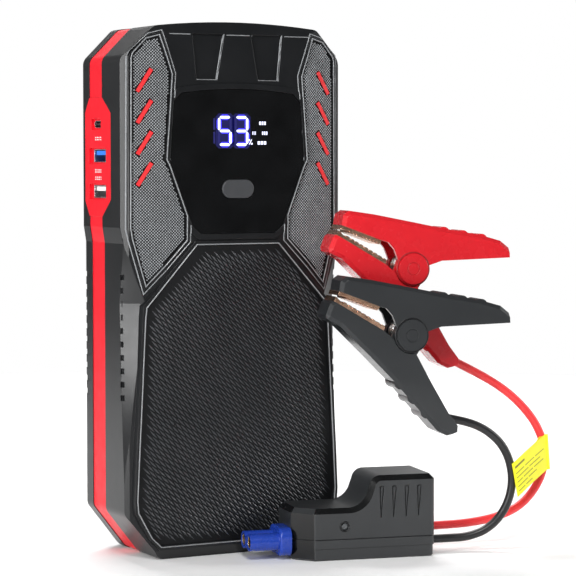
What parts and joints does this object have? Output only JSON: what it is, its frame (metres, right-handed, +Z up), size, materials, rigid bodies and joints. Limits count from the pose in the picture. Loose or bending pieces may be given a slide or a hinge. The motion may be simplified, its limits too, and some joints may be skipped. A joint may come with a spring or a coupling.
{
  "type": "jump starter pack",
  "caption": "Portable car jump starter pack with digital display, red side band and ports, standing beside its lead set: blue plug, control module, warning tag and red and black clamps.",
  "frame": {"origin": "centre of the pack's flat base", "axes": "+X to the right across the front, the front faces -Y, +Z up"},
  "size_m": [0.196, 0.1046, 0.2369],
  "materials": {
    "case_charcoal": "satin",
    "inlay_black": "satin",
    "band_red": "satin",
    "lens_black": "gloss",
    "button_grey": "satin",
    "torch_clear": "gloss",
    "led_white": "satin",
    "steel": "satin",
    "board_green": "satin",
    "board_black": "satin",
    "part_black": "satin",
    "cell_silver": "satin",
    "tray_black": "satin",
    "foam_grey": "matte",
    "copper": "satin",
    "tongue_blue": "satin",
    "tongue_white": "satin",
    "socket_blue": "satin",
    "brass": "satin",
    "cap_rubber": "matte",
    "module_black": "satin",
    "plug_blue": "satin",
    "led_lens": "gloss",
    "lead_red": "satin",
    "lead_black": "satin",
    "clamp_red": "satin",
    "clamp_black": "satin",
    "tag_yellow": "satin"
  },
  "bodies": {
    "pack": {"front_cover": "case_charcoal", "rear_cover": "case_charcoal", "case_screws": "steel", "side_band": "band_red", "torch_lens": "torch_clear", "torch_led": "led_white", "left_wing": "inlay_black", "right_wing": "inlay_black", "accent_bars": "band_red", "lower_panel": "inlay_black", "display_lens": "lens_black", "button_switch": "part_black", "display_board": "board_green", "display_module": "board_black", "main_board": "board_green", "board_components": "part_black", "battery_cells": "cell_silver", "cell_tray": "tray_black", "foam_pads": "foam_grey", "copper_straps": "copper", "usb_shells": "steel", "usb_blue_tongue": "tongue_blue", "usb_white_tongue": "tongue_white", "input_port": "steel", "input_tongue": "part_black", "jump_socket": "socket_blue", "socket_contacts": "brass", "cap_hinge": "steel"},
    "button": {"power_button": "button_grey"},
    "cap": {"socket_cap": "cap_rubber"},
    "lead_set": {"module_base": "module_black", "module_cover": "module_black", "status_led": "led_lens", "module_board": "board_green", "relay": "part_black", "lead_grommets": "part_black", "plug_body": "plug_blue", "plug_contacts": "brass", "red_lead": "lead_red", "black_lead": "lead_black", "warning_tag": "tag_yellow", "red_lower_shell": "clamp_red", "red_lower_jaw": "copper", "red_pivot": "clamp_red", "red_conductor": "copper", "red_spring": "steel", "black_lower_shell": "clamp_black", "black_lower_jaw": "copper", "black_pivot": "clamp_black", "black_conductor": "copper", "black_spring": "steel"},
    "red_jaw_half": {"red_upper_shell": "clamp_red", "red_upper_jaw": "copper"},
    "black_jaw_half": {"black_upper_shell": "clamp_black", "black_upper_jaw": "copper"}
  },
  "joints": [
    {"name": "button_press", "type": "slide", "parent": "pack", "child": "button", "axis": [0, 1, 0], "range_m": [0, 0.0008], "stiffness_N_per_m": 600},
    {"name": "cap_swing", "type": "hinge", "parent": "pack", "child": "cap", "pos_m": [0.05575, 0.0146, 0.177], "axis": [0, 0, 1], "range_deg": [0, 120]},
    {"name": "lead_set_slide", "type": "slide", "parent": "pack", "child": "lead_set", "axis": [1, 0, 0], "range_m": [0, 0.08]},
    {"name": "red_clamp_open", "type": "hinge", "parent": "lead_set", "child": "red_jaw_half", "pos_m": [0.07556, -0.04706, 0.1268], "axis": [0.2079, 0.9781, 0], "range_deg": [0, 35], "stiffness_Nm_per_rad": 0.4, "springref_deg": -20.05},
    {"name": "black_clamp_open", "type": "hinge", "parent": "lead_set", "child": "black_jaw_half", "pos_m": [0.0648, -0.06399, 0.0986], "axis": [0.2079, 0.9781, 0], "range_deg": [0, 35], "stiffness_Nm_per_rad": 0.4, "springref_deg": -20.05}
  ]
}
